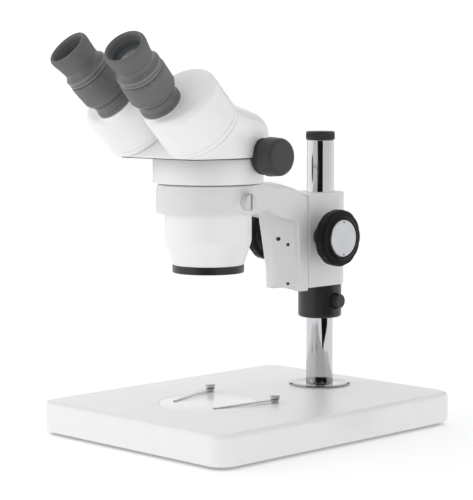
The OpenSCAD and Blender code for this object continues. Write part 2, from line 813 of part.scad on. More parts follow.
module prism_box(side) {
    wall = 3;
    rim = 6;
    back = -box_depth + plate_depth;
    color(white) difference() {
        union() {
            at_box(side) rotate_extrude() {
                polygon([
                    [0, back], [box_r, back], [box_r, -rim], [box_r - rim, -rim], [box_r - rim, 0], [0, 0]]);
                intersection() {
                    translate([box_r - rim, -rim]) circle(r = rim);
                    translate([box_r - rim - cut, -rim - cut]) square(rim + 2 * cut);
                }
            }
            at_eye(side) translate([0, 0, -9]) cylinder(r = 18.9, h = 8.5);
        }
        at_box(side) translate([0, 0, back - cut])
            cylinder(r = box_r - wall, h = box_depth - plate_depth - rim + cut);
        at_eye(side) translate([0, 0, -12]) cylinder(r = tube_r, h = 20);
    }
}

module prism_plate(side) {
    color(white) at_box(side) translate([0, 0, -box_depth]) difference() {
        union() {
            cylinder(r = box_r - 0.8, h = plate_depth);
            translate([0, 0, -spigot_len]) cylinder(r = spigot_r, h = spigot_len + cut);
        }
        translate([0, 0, -spigot_len - cut]) cylinder(r = spigot_r - 3, h = 30);
    }
}

module erecting_prism(side) {
    color(glass) at_box(side) translate([0, 0, -box_depth + plate_depth])
        rotate([90, 0, side * 47]) translate([0, 0, -11]) linear_extrude(22)
            polygon([[-12, 0.05], [12, 0.05], [24, 10], [24, 12], [13, 21], [-12, 21]]);
}

module eyepiece_tube(side) {
    color(grey) at_eye(side) difference() {
        turned([
            [0, -9], [tube_r, -9], [tube_r, -0.4], [18.2, -0.4], [18.2, 2.4],
            [17.2, 3.4], [17.2, 10], [16.6, 10.6], [0, 10.6]]);
        translate([0, 0, -10]) cylinder(r = tube_bore, h = 30);
    }
}

module eyepiece_barrel(side) {
    color(grey) at_eye(side) difference() {
        turned([
            [0, -8], [15, -8], [15, 10.7], [17.2, 10.7], [17.2, 12], [16, 12.2],
            [16, 36.2], [19.4, 36.4], [19.6, 37], [19.6, 42], [17.3, 45.4], [17.1, 46],
            [17.1, 50], [15.6, 50], [15.6, 61], [0, 61]]);
        translate([0, 0, -9]) cylinder(r = 12.5, h = 66);
        translate([0, 0, 53]) cylinder(r = 13.5, h = 10);
    }
}

module diopter_ring(side) {
    color(grey) at_eye(side) difference() {
        turned([
            [0, 12.3], [18.8, 12.3], [19.5, 13], [19.6, 15], [20.6, 19],
            [20.7, 24], [20.7, 34], [19.8, 36.1], [0, 36.1]]);
        cylinder(r = 16 + fit, h = 60);
    }
}

module eyecup(side) {
    color(black) at_eye(side) turned([
        [15.65, 50.05], [17.1, 50.05], [17.4, 52], [17.9, 57], [18.4, 62], [18.9, 67],
        [18.8, eye_len - 0.4], [18.2, eye_len], [17.4, eye_len - 0.3],
        [16.4, 66], [14.6, 62.5], [14.2, 61.05], [15.65, 61.05]]);
}

module eye_lens(side) {
    color(glass) at_eye(side) translate([0, 0, 56]) lens(13.45, 1.8, 2);
}

// ---------------------------------------------------------------- what is drawn

base_casting();
base_cover();
base_feet();
base_screws();
stage_plate();
pole();
pole_flange();
pole_bolt();
pole_cap();
stop_collar();
collar_screw();
focus_housing();
shaft_bushes();
slide_gib();
housing_clamp_screw();
focus_shaft();
focus_pinion();
focus_knob(LEFT);  // focus_knob_left
focus_knob(RIGHT);  // focus_knob_right
knob_discs();
head_holder();
focus_rack();
holder_screws();
ring_screw();
lower_housing();
objective_ring();
objective_lenses();
upper_housing();
housing_screws();
zoom_rods();
zoom_bushes();
zoom_shaft();
zoom_pinion();
zoom_knob(LEFT);  // zoom_knob_left
zoom_knob(RIGHT);  // zoom_knob_right
zoom_carriage();
zoom_rack();
zoom_lenses();
prism_box(LEFT);  // prism_box_left
prism_box(RIGHT);  // prism_box_right
prism_plate(LEFT);  // prism_plate_left
prism_plate(RIGHT);  // prism_plate_right
erecting_prism(LEFT);  // erecting_prism_left
erecting_prism(RIGHT);  // erecting_prism_right
eyepiece_tube(LEFT);  // eyepiece_tube_left
eyepiece_tube(RIGHT);  // eyepiece_tube_right
eyepiece_barrel(LEFT);  // eyepiece_barrel_left
eyepiece_barrel(RIGHT);  // eyepiece_barrel_right
diopter_ring(LEFT);  // diopter_ring_left
diopter_ring(RIGHT);  // diopter_ring_right
eyecup(LEFT);  // eyecup_left
eyecup(RIGHT);  // eyecup_right
eye_lens(LEFT);  // eye_lens_left
eye_lens(RIGHT);  // eye_lens_right
clip_spring(LEFT);  // clip_spring_left
clip_spring(RIGHT);  // clip_spring_right
clip_post(LEFT);  // clip_post_left
clip_post(RIGHT);  // clip_post_right
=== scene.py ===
"""Looks of the stereo microscope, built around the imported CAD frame.

The shapes are worked out in millimetres and put down in metres. +Z is up and the user sits at -Y.
Turned pieces are lathed from outlines with rounded corners. Castings are skins over distance fields.
"""
import json
from math import cos, hypot, pi, radians, sin, sqrt, tan

import bpy
import numpy as np
from mathutils import Matrix, Vector
from mathutils.geometry import tessellate_polygon


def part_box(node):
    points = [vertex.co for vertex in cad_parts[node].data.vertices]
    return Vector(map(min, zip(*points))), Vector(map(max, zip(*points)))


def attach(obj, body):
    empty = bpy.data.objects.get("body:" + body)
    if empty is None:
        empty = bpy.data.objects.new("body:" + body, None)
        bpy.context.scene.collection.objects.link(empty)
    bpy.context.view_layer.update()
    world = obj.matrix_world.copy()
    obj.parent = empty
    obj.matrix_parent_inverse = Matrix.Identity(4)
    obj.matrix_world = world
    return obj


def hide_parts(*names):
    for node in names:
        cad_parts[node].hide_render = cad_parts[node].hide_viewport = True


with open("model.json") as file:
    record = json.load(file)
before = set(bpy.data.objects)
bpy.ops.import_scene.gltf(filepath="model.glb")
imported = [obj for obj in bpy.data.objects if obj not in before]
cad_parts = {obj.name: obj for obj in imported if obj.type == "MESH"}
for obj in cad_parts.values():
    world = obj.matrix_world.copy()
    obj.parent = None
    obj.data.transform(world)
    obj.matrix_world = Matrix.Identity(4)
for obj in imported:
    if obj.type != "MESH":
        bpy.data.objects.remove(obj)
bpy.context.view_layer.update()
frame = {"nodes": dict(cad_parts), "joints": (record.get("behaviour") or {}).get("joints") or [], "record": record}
scene = bpy.context.scene

MM = 0.001
LEFT = -1
RIGHT = 1
SIDES = ((LEFT, "left"), (RIGHT, "right"))
UNMOVED = Matrix.Identity(4)
BODY_OF = {node: body for body, nodes in frame["record"]["behaviour"]["bodies"].items() for node in nodes}
SLOT_OF = {part["node"]: part["material_slot"] for part in frame["record"]["subparts"]}
JOINTS = {joint["name"]: joint for joint in frame["joints"]}


# ---- places taken from the frame

def box_mm(node):
    low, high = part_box(node)
    return low / MM, high / MM


def middle_mm(node):
    low, high = box_mm(node)
    return (low + high) / 2


base_low, base_high = box_mm("base_casting")
base_middle = (base_low + base_high) / 2
base_top = base_high.z
head_y = middle_mm("objective_ring").y
pole_y = middle_mm("pole").y
pole_r = (box_mm("pole")[1].x - box_mm("pole")[0].x) / 2
shaft_y = middle_mm("focus_shaft").y
shaft_z = middle_mm("focus_shaft").z
zoom_y = middle_mm("zoom_shaft").y
zoom_z = middle_mm("zoom_shaft").z
seam_gap = 0.3
seam_high = box_mm("lower_housing")[1].z + seam_gap


def upright(y, z):
    return Matrix.Translation((0, y, z))


def sideways(side, x, y, z):
    """Frame whose +z runs along +X, or along -X on the left."""
    return Matrix.Translation((side * x, y, z)) @ Matrix.Rotation(radians(side * 90), 4, "Y")


def joint_frame(name, back):
    """Frame whose +z runs along a joint's axis and whose origin lies that far behind the joint's point."""
    axis = Vector(JOINTS[name]["axis"]).normalized()
    across = Vector((1, 0, 0)) - axis * axis.x
    across.normalize()
    up = axis.cross(across)
    origin = Vector(JOINTS[name]["pos_m"]) / MM - axis * back
    turn = Matrix((across, up, axis)).transposed().to_4x4()
    return Matrix.Translation(origin) @ turn


# ---- mesh making

def finish_mesh(name, points, faces, place, node, crease=38):
    """Makes the piece, puts it in place, and lets it stand for the CAD node."""
    mesh = bpy.data.meshes.new(name)
    grid = np.asarray(points, float)
    turn = np.array(place.to_3x3())
    shift = np.array(place.translation)
    mesh.from_pydata(((grid @ turn.T + shift) * MM).tolist(), [], faces)
    mesh.validate()
    mesh.shade_smooth()
    mesh.set_sharp_from_angle(angle=radians(crease))
    piece = bpy.data.objects.new(name, mesh)
    scene.collection.objects.link(piece)
    adopt(piece, node)
    return piece


def refinish(piece, name, place, test):
    """Gives another finish to the faces whose middles pass the test, in mm in the frame of the place."""
    piece.data.materials.append(FINISHES[name])
    back = place.inverted()
    for face in piece.data.polygons:
        if test(*(back @ (face.center / MM))):
            face.material_index = 1


def adopt(piece, node):
    """Gives the piece the node's body, material and slot."""
    piece.data.materials.clear()
    piece.data.materials.append(FINISHES[SLOT_OF[node]])
    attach(piece, BODY_OF[node])
    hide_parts(node)


def round_path(corners, closed):
    """A path through corners of radius and height. A third number, the corner's blend, becomes an arc."""
    path = []
    count = len(corners)
    for i, (r, z, *blend) in enumerate(corners):
        here = Vector((r, z))
        ends = not closed and i in (0, count - 1)
        if ends or not blend:
            path.append(here)
            continue
        before = Vector(corners[i - 1][:2]) - here
        after = Vector(corners[(i + 1) % count][:2]) - here
        half = before.angle(after) / 2
        if half > radians(88):
            path.append(here)
            continue
        reach = min(blend[0] / tan(half), 0.49 * before.length, 0.49 * after.length)
        radius = reach * tan(half)
        start = here + before.normalized() * reach
        end = here + after.normalized() * reach
        centre = here + (before.normalized() + after.normalized()).normalized() * radius / sin(half)
        steps = max(3, min(10, round(radius * 3)))
        for k in range(steps + 1):
            spoke = (start - centre).normalized().slerp((end - centre).normalized(), k / steps)
            path.append(centre + radius * spoke)
    return path


def lathe(corners, closed=False, segments=144, ridge=None):
    """Points and faces of a turned solid. ridge(angle, radius, height) is how much comes off the radius."""
    path = round_path(corners, closed)
    rings = []
    points = []
    for r, z in path:
        if r < 1e-6:
            rings.append([len(points)])
            points.append((0, 0, z))
            continue
        rings.append(range(len(points), len(points) + segments))
        for k in range(segments):
            angle = 2 * pi * k / segments
            out = r - (ridge(angle, r, z) if ridge else 0)
            points.append((out * cos(angle), out * sin(angle), z))
    faces = []
    pairs = list(zip(rings, rings[1:]))
    if closed:
        pairs.append((rings[-1], rings[0]))
    for lower, upper in pairs:
        faces.extend(band(lower, upper))
    return points, faces


def band(lower, upper):
    """Faces between two rings of point numbers, either of which may be a single point."""
    count = max(len(lower), len(upper))
    faces = []
    for k in range(count):
        k2 = (k + 1) % count
        if len(lower) == 1:
            faces.append((lower[0], upper[k2], upper[k]))
        elif len(upper) == 1:
            faces.append((lower[k], lower[k2], upper[0]))
        else:
            faces.append((lower[k], lower[k2], upper[k2], upper[k]))
    return faces


def turned(name, node, place, corners, closed=False, segments=144, ridge=None):
    points, faces = lathe(corners, closed, segments, ridge)
    return finish_mesh(name, points, faces, place, node)


def gather(parts):
    """One list of points and one of faces from parts given as frame, points and faces."""
    points = []
    faces = []
    for place, part, part_faces in parts:
        start = len(points)
        points.extend(tuple(place @ Vector(point)) for point in part)
        faces.extend(tuple(start + k for k in face) for face in part_faces)
    return points, faces


def knurl_zone(r, low, high, step=0.1):
    """Outline points of a knurled zone, doubled at its ends so that the ridges stop within a step."""
    return [(r, low), (r, low + step), (r, high - step), (r, high)]


def straight_knurl(count, depth, low, high, least_r):
    """Fine ridges along the axis between two heights, outside some radius."""
    def ridge(angle, r, z):
        if r < least_r or not low < z < high:
            return 0
        return depth * abs(sin(count * angle / 2)) ** 0.7
    return ridge


# ---- skins over distance fields

def soft_or(a, b, r):
    """Joins two fields with a fillet of radius r."""
    return np.maximum(r, np.minimum(a, b)) - np.hypot(np.maximum(r - a, 0), np.maximum(r - b, 0))


def soft_and(a, b, r):
    """Keeps what is in both fields, with the edge rounded to radius r."""
    return np.minimum(-r, np.maximum(a, b)) + np.hypot(np.maximum(r + a, 0), np.maximum(r + b, 0))


def cut_away(a, b, r):
    return soft_and(a, -b, r)


def between(z, low, high):
    """Field of the slab between two heights."""
    return np.maximum(low - z, z - high)


def outline_field(u, v, corners):
    """Signed distance to a closed outline, negative inside."""
    ring = np.asarray(corners, float)
    best = np.full(u.shape, 1e9)
    inside = np.zeros(u.shape, bool)
    for (ax, ay), (bx, by) in zip(ring, np.roll(ring, -1, axis=0)):
        ex, ey = bx - ax, by - ay
        px, py = u - ax, v - ay
        t = np.clip((px * ex + py * ey) / (ex * ex + ey * ey), 0, 1)
        best = np.minimum(best, np.hypot(px - t * ex, py - t * ey))
        crosses = (ay > v) != (by > v)
        slope = (v - ay) * ex / (ey if abs(ey) > 1e-9 else 1e-9) + ax
        inside ^= crosses & (u < slope)
    return np.where(inside, -best, best)


def skin(field, low, high, step):
    """Points, normals and quads of the zero surface of a field, by surface nets and projection."""
    axes = [np.arange(a - 1.5 * step, b + 2.5 * step, step) for a, b in zip(low, high)]
    x, y, z = np.meshgrid(*axes, indexing="ij")
    value = field(x, y, z)
    cells = tuple(n - 1 for n in value.shape)
    corner = {
        (a, b, c): value[a:cells[0] + a, b:cells[1] + b, c:cells[2] + c]
        for a in (0, 1) for b in (0, 1) for c in (0, 1)}
    filled = sum((v < 0).astype(np.int8) for v in corner.values())
    mixed = (filled > 0) & (filled < 8)
    at = np.argwhere(mixed)
    total = np.zeros((len(at), 3))
    crossings = np.zeros(len(at))
    for here in corner:
        for axis in range(3):
            if here[axis]:
                continue
            there = tuple(1 if k == axis else here[k] for k in range(3))
            v0, v1 = corner[here][mixed], corner[there][mixed]
            hit = (v0 < 0) != (v1 < 0)
            share = np.where(hit, v0 / np.where(hit, v0 - v1, 1), 0)
            spot = np.tile(np.array(here, float), (len(at), 1))
            spot[:, axis] = share
            total += spot * hit[:, None]
            crossings += hit
    origin = np.array([a[0] for a in axes])
    points = (at + total / crossings[:, None]) * step + origin
    for _ in range(3):
        slope, here = gradient(field, points, step * 0.1)
        pull = here[:, None] * slope / np.maximum((slope ** 2).sum(1), 0.2)[:, None]
        points -= np.clip(pull, -0.4 * step, 0.4 * step)
    slope, _ = gradient(field, points, step * 0.1)
    number = np.full(cells, -1)
    number[mixed] = np.arange(len(at))
    quads = []
    for axis in range(3):
        b, c = (axis + 1) % 3, (axis + 2) % 3
        first = np.moveaxis(value, (axis, b, c), (0, 1, 2))
        index = np.moveaxis(number, (axis, b, c), (0, 1, 2))
        low_in = first[:-1, 1:-1, 1:-1] < 0
        high_in = first[1:, 1:-1, 1:-1] < 0
        ring = [index[:, :-1, :-1], index[:, 1:, :-1], index[:, 1:, 1:], index[:, :-1, 1:]]
        out = low_in & ~high_in
        quads.append(np.stack([r[out] for r in ring], 1))
        out = high_in & ~low_in
        quads.append(np.stack([r[out] for r in ring[::-1]], 1))
    return points, slope, np.concatenate(quads)


def gradient(field, points, h):
    x, y, z = points.T
    slope = np.stack([
        field(x + h, y, z) - field(x - h, y, z),
        field(x, y + h, z) - field(x, y - h, z),
        field(x, y, z + h) - field(x, y, z - h)], 1) / (2 * h)
    return slope, field(x, y, z)


def cast(name, node, field, low, high, step, place=UNMOVED):
    """A casting: the skin of a field, shaded with the field's own normals."""
    points, slope, quads = skin(field, low, high, step)
    piece = finish_mesh(name, points, quads.tolist(), place, node, crease=180)
    normals = slope @ np.array(place.to_3x3()).T
    normals /= np.linalg.norm(normals, axis=1)[:, None]
    if len(piece.data.vertices) == len(normals):
        piece.data.normals_split_custom_set_from_vertices(normals.tolist())
    return piece


# ---- materials

def plug(tree, node, settings):
    """Sets a node's inputs to values, or links them where the setting is another node's output."""
    for name, value in settings.items():
        if isinstance(value, bpy.types.NodeSocket):
            tree.links.new(value, node.inputs[name])
        else:
            node.inputs[name].default_value = value


def add_node(tree, kind, settings):
    node = tree.nodes.new(kind)
    plug(tree, node, settings)
    return node


def finish(name, tones, rough, metal=0.0, coat=0.0, grain=None, mottle=60, spread=0.06, brushed=0.0,
           wear=None, shine=0.5):
    """A procedural finish.

    tones are the two colours that a noise of scale mottle mixes, rough plus or minus spread is its
    roughness, brushed stretches the roughness upwards, grain is (size in mm, height in mm) of its texture,
    wear is the colour of its rubbed edges, and shine is its specular level.
    """
    material = bpy.data.materials.new(name)
    material.use_nodes = True
    tree = material.node_tree
    place = tree.nodes.new("ShaderNodeTexCoord").outputs["Object"]

    def noise(scale, detail, spot=place):
        texture = add_node(tree, "ShaderNodeTexNoise", {"Scale": scale, "Detail": detail, "Vector": spot})
        return texture.outputs["Fac"]

    def blend(factor, a, b):
        mix = tree.nodes.new("ShaderNodeMix")
        mix.data_type = "RGBA"
        plug(tree, mix, {"Factor": factor, "A": a, "B": b})
        return mix.outputs["Result"]

    colour = blend(noise(mottle, 5), (*tones[0], 1), (*tones[1], 1))
    if wear:
        sharpness = tree.nodes.new("ShaderNodeNewGeometry").outputs["Pointiness"]
        edge = add_node(tree, "ShaderNodeMapRange", {
            "Value": sharpness, "From Min": 0.52, "From Max": 0.62, "To Max": 0.6})
        colour = blend(edge.outputs["Result"], colour, (*wear, 1))
    stretch = add_node(tree, "ShaderNodeMapping", {"Vector": place, "Scale": (1, 1, 1 - brushed)})
    gloss = add_node(tree, "ShaderNodeMapRange", {
        "Value": noise(400, 3, stretch.outputs["Vector"]),
        "To Min": max(0.02, rough - spread), "To Max": rough + spread})
    shader = tree.nodes["Principled BSDF"]
    plug(tree, shader, {
        "Base Color": colour, "Roughness": gloss.outputs["Result"], "Metallic": metal,
        "Specular IOR Level": shine, "Coat Weight": coat, "Coat Roughness": 0.25})
    if grain:
        size, height = grain
        bump = add_node(tree, "ShaderNodeBump", {
            "Height": noise(1 / (size * MM), 2), "Distance": height * MM, "Strength": 1.0})
        plug(tree, shader, {"Normal": bump.outputs["Normal"]})
    return material


def glass(name, tint):
    material = finish(name, (tint, tint), 0.03, coat=0.6, mottle=20, spread=0.01)
    tree = material.node_tree
    plug(tree, tree.nodes["Principled BSDF"], {"Transmission Weight": 0.6, "IOR": 1.5})
    return material


RECIPES = {
    "cast_white": dict(tones=((0.85, 0.85, 0.85), (0.885, 0.885, 0.885)), rough=0.38,
                       coat=0.15, grain=(0.9, 0.012), wear=(0.91, 0.91, 0.90)),
    "arm_grey": dict(tones=((0.72, 0.725, 0.725), (0.76, 0.765, 0.765)), rough=0.42,
                     coat=0.1, grain=(0.8, 0.015), wear=(0.80, 0.80, 0.80)),
    "plate_white": dict(tones=((0.91, 0.91, 0.92), (0.94, 0.94, 0.95)), rough=0.3,
                        coat=0.3, grain=(2.5, 0.006)),
    "cover_grey": dict(tones=((0.10, 0.10, 0.11), (0.14, 0.14, 0.15)), rough=0.6, grain=(0.6, 0.02)),
    "rubber_black": dict(tones=((0.12, 0.12, 0.122), (0.15, 0.15, 0.153)), rough=0.62,
                         grain=(0.5, 0.02), shine=0.4),
    "chrome": dict(tones=((0.58, 0.58, 0.60), (0.64, 0.64, 0.66)), rough=0.08,
                   metal=1, brushed=0.97, spread=0.03),
    "steel": dict(tones=((0.52, 0.52, 0.53), (0.62, 0.62, 0.63)), rough=0.26,
                  metal=1, brushed=0.9, spread=0.08, grain=(0.4, 0.004)),
    "brass": dict(tones=((0.66, 0.46, 0.18), (0.78, 0.58, 0.28)), rough=0.3,
                  metal=1, brushed=0.9, grain=(0.4, 0.004)),
    "black_metal": dict(tones=((0.012, 0.012, 0.013), (0.020, 0.020, 0.022)), rough=0.34,
                        coat=0.15, grain=(0.5, 0.010), wear=(0.08, 0.08, 0.085), shine=0.4),
    "knob_black": dict(tones=((0.005, 0.005, 0.006), (0.010, 0.010, 0.011)), rough=0.38,
                       grain=(0.6, 0.014), wear=(0.05, 0.05, 0.055), shine=0.12),
    "knob_grey": dict(tones=((0.032, 0.032, 0.035), (0.045, 0.045, 0.049)), rough=0.42,
                      grain=(0.5, 0.012), wear=(0.10, 0.10, 0.11), shine=0.4),
    "disc_silver": dict(tones=((0.54, 0.55, 0.57), (0.62, 0.63, 0.65)), rough=0.34,
                        metal=1, spread=0.08, grain=(0.3, 0.006)),
    "eyepiece_grey": dict(tones=((0.115, 0.115, 0.116), (0.145, 0.145, 0.146)), rough=0.45,
                          coat=0.1, grain=(0.5, 0.012), wear=(0.17, 0.17, 0.17)),
    # lighter grey on the eyepiece ribs is a painted highlight along their edges
    "rib_painted_highlight": dict(tones=((0.21, 0.21, 0.21), (0.26, 0.26, 0.26)), rough=0.35,
                       metal=0.2, grain=(0.4, 0.006)),
    "flange_steel": dict(tones=((0.30, 0.30, 0.305), (0.38, 0.38, 0.385)), rough=0.16,
                         metal=1, brushed=0.6, grain=(0.4, 0.004)),
    "screw_grey": dict(tones=((0.58, 0.58, 0.59), (0.66, 0.66, 0.67)), rough=0.3,
                       metal=0.4, brushed=0.5, grain=(0.4, 0.006)),
}
FINISHES = {name: finish(name, **recipe) for name, recipe in RECIPES.items()}
FINISHES["lens"] = glass("lens", (0.15, 0.18, 0.20))
for node, carried in frame["nodes"].items():
    carried.data.materials.clear()
    # the flanges of the shaft bushes show behind the focus knobs and are blackened as painted shade between the
    # knobs and the block
    carried.data.materials.append(FINISHES["black_metal" if node == "shaft_bushes" else SLOT_OF[node]])


# ---- base and stage

base_size = base_high - base_low
base_corner = 17
base_blend = 4.5
base_toe = 2
recess_inset = 4
recess_depth = 2
plate_r = 44
seat_depth = 5
seat_edge = 0.3
pole_seat_depth = 8
post_hole_r = 2.1
post_hole_depth = 12
bolt_pocket_r = 11
bolt_pocket_roof = 12


def slab_ring(inset, z, steps=12):
    """Rounded rectangle of the base, drawn in by some amount, at some height."""
    half_w = base_size.x / 2 - inset
    half_d = base_size.y / 2 - inset
    r = max(base_corner - inset, 1.5)
    ring = []
    for quarter in range(4):
        cx = (half_w - r) * (1 if quarter in (0, 3) else -1)
        cy = (half_d - r) * (1 if quarter in (0, 1) else -1)
        for k in range(steps + 1):
            angle = pi / 2 * (quarter + k / steps)
            ring.append((cx + r * cos(angle), base_middle.y + cy + r * sin(angle), z))
    return ring


def circle_ring(x, y, r, z, count):
    return [(x + r * cos(2 * pi * k / count), y + r * sin(2 * pi * k / count), z)
            for k in range(count)]


def base_casting():
    points = []
    faces = []

    def add_ring(ring):
        start = len(points)
        points.extend(ring)
        return list(range(start, start + len(ring)))

    # outer skin, from the recess of the cover under the base round to the top face
    path = [(recess_inset, base_low.z + recess_depth), (recess_inset, base_low.z)]
    for k in range(7):
        angle = pi / 2 * k / 6
        path.append((base_toe * (1 - sin(angle)), base_low.z + base_toe * (1 - cos(angle))))
    for k in range(13):
        angle = pi / 2 * k / 12
        path.append((base_blend * (1 - cos(angle)), base_top - base_blend * (1 - sin(angle))))
    rings = [add_ring(slab_ring(inset, z)) for inset, z in path]
    for lower, upper in zip(rings, rings[1:]):
        faces.extend(band(lower, upper))
    # seats in the top face, each with a small broken edge
    seats = [(0, head_y, plate_r + 0.2, seat_depth, 160), (0, pole_y, pole_r + 0.1, pole_seat_depth, 96)]
    for _, word in SIDES:
        post = middle_mm(f"clip_post_{word}")
        seats.append((post.x, post.y, post_hole_r, post_hole_depth, 32))
    top_loops = [rings[-1]]
    for x, y, r, depth, count in seats:
        rim = add_ring(circle_ring(x, y, r + seat_edge, base_top, count)[::-1])
        lip = add_ring(circle_ring(x, y, r, base_top - seat_edge, count)[::-1])
        floor_ring = add_ring(circle_ring(x, y, r, base_top - depth, count)[::-1])
        faces.extend(band(rim, lip) + band(lip, floor_ring) + [tuple(floor_ring[::-1])])
        top_loops.append(rim)
    # pocket of the pole bolt in the underside
    mouth = add_ring(circle_ring(0, pole_y, bolt_pocket_r, base_low.z + recess_depth, 64))
    roof = add_ring(circle_ring(0, pole_y, bolt_pocket_r, bolt_pocket_roof, 64))
    faces.extend(band(roof, mouth) + [tuple(roof)])
    faces.extend(fill_loops(points, top_loops, up=True))
    faces.extend(fill_loops(points, [rings[0], mouth], up=False))
    finish_mesh("base_casting_shell", points, orient(points, faces), UNMOVED, "base_casting")


def orient(points, faces):
    """Chooses the winding in which the solid's volume is positive."""
    grid = np.array(points)
    volume = sum(float(np.dot(grid[f[0]], np.cross(grid[f[1]], grid[f[2]]))) for f in faces if len(f) < 5)
    return faces if volume > 0 else [face[::-1] for face in faces]


def fill_loops(points, loops, up):
    """Triangles between an outer loop and the holes in it, all in one plane."""
    flat = [[Vector((points[k][0], points[k][1], 0)) for k in loop] for loop in loops]
    order = [k for loop in loops for k in loop]
    faces = []
    for a, b, c in tessellate_polygon(flat):
        pa, pb, pc = (points[order[k]] for k in (a, b, c))
        area = (pb[0] - pa[0]) * (pc[1] - pa[1]) - (pb[1] - pa[1]) * (pc[0] - pa[0])
        triangle = (order[a], order[b], order[c])
        faces.append(triangle if (area > 0) == up else triangle[::-1])
    return faces


def stage_plate():
    low, high = box_mm("stage_plate")
    thick = high.z - low.z
    turned("stage_plate_disc", "stage_plate", upright(head_y, low.z), [
        (0, 0), (plate_r - 0.4, 0), (plate_r, 0.4), (plate_r, thick, 0.5), (0, thick)],
        segments=192)


clip_length = 63
clip_lean = radians(14.5)
clip_thick = 0.9
# height of a clip's underside at its eye and just before its tip
eye_height = 2.3
tip_height = 0.1
eye_r = 3.95
eye_back = 3.6
neck_half = 3.6
tip_half = 1.1
tip_round = 1.2
# section of a clip in shares of its half width and half thickness
clip_section = ((-1, -0.5), (-0.86, -1), (0.86, -1), (1, -0.5), (1, 0.5), (0.86, 1), (-0.86, 1), (-1, 0.5))


def clip_spring(side, word):
    """Tapered steel strip that slopes from its eye to a tip on the stage plate."""
    post = middle_mm(f"clip_post_{word}")
    stations = 60
    corners = len(clip_section)
    points = []
    faces = []
    for i in range(stations + 1):
        along = eye_back - i / stations * (clip_length + eye_back)
        half = strip_half(along)
        mid = strip_height(-along) + clip_thick / 2
        for x, z in clip_section:
            points.append((x * half, along, mid + z * clip_thick / 2))
    for i in range(stations):
        for k in range(corners):
            a = i * corners + k
            b = i * corners + (k + 1) % corners
            faces.append((a, a + corners, b + corners, b))
    faces.append(tuple(range(corners))[::-1])
    faces.append(tuple(range(stations * corners, (stations + 1) * corners)))
    place = Matrix.Translation((post.x, post.y, base_top)) @ Matrix.Rotation(-side * clip_lean, 4, "Z")
    finish_mesh(f"clip_strip_{word}", points, orient(points, faces), place, f"clip_spring_{word}", crease=50)


def strip_half(along):
    """Half width of a clip: round about its eye, then tapered to a round tip."""
    if along > -1:
        return sqrt(max(eye_r ** 2 - max(along, 0) ** 2, 0.5))
    taper = neck_half + (tip_half - neck_half) * min(-along / (clip_length - 1), 1)
    to_tip = clip_length + along
    if to_tip > tip_round:
        return taper
    return max(0.25, taper * sqrt(max(1 - (1 - to_tip / tip_round) ** 2, 0.01)))


def strip_height(distance):
    """Height of a clip's underside above the base, falling from the eye to a slightly upturned tip."""
    t = min(max((distance - 4) / (clip_length - 7), 0), 1)
    bent = t * t * (3 - 2 * t)
    upturn = 0.3 * max(distance - clip_length + 3, 0) / 3
    return eye_height - (eye_height - tip_height) * (0.6 * t + 0.4 * bent) + upturn


def clip_post(word):
    """Knurled button on a stem, with a neck that the clip's eye turns in."""
    post = middle_mm(f"clip_post_{word}")
    place = Matrix.Translation((post.x, post.y, base_top))
    stem_r = 2
    collar_r = 3.4
    button_r = 4.2
    button_high = 7
    neck_low = eye_height - 0.05
    neck_high = eye_height + 1
    turned(f"clip_button_{word}", f"clip_post_{word}", place, [
        (0, -11), (stem_r, -11, 0.2), (stem_r, 0.03), (collar_r, 0.03, 0.2), (collar_r, neck_low, 0.2),
        (stem_r, neck_low), (stem_r, neck_high), (collar_r, neck_high, 0.2), (button_r, 3.7, 0.1),
        (button_r, 3.9), (button_r, 4), (button_r, 5.9), (button_r, 6.1), (button_r, 6.4, 0.1),
        (button_r - 0.6, button_high, 0.3), (0, button_high)],
        segments=144, ridge=straight_knurl(24, 0.22, 3.95, 6, button_r - 0.1))


# ---- pole and stop collar

flange_r = 28.5
cap_r = 13.4
cap_screw_r = 3.9


def pole_pieces():
    low, high = box_mm("pole")
    turned("pole_bar", "pole", upright(pole_y, 0), [
        (0, low.z), (pole_r, low.z, 0.3), (pole_r, high.z, 0.8), (0, high.z)], segments=192)
    flange = box_mm("pole_flange")[1].z - base_top
    disc = turned("pole_flange_disc", "pole_flange", upright(pole_y, base_top), [
        (pole_r + 0.05, 0), (flange_r, 0, 0.2), (flange_r, flange - 0.9, 0.3),
        (flange_r - 1.2, flange, 0.3), (pole_r + 0.05, flange, 0.2)], closed=True, segments=192)
    refinish(disc, "flange_steel", upright(pole_y, base_top), lambda x, y, z: True)
    cap_low, cap_high = box_mm("pole_cap")
    foot = cap_low.z - high.z
    top = cap_high.z - high.z
    turned("pole_cap_knurled", "pole_cap", upright(pole_y, high.z), [
        (0, foot), (cap_screw_r, foot, 0.4), (cap_screw_r, 0), (cap_r - 0.4, 0, 0.3), (cap_r, 0.5),
        *knurl_zone(cap_r, 1, top - 1.5, 0.2), (cap_r, top - 0.9, 0.2), (cap_r - 1, top, 0.7),
        (5, top), (4.6, top - 0.4), (0, top - 0.4)],
        segments=360, ridge=straight_knurl(60, 0.35, 1.1, top - 1.6, cap_r - 0.4))


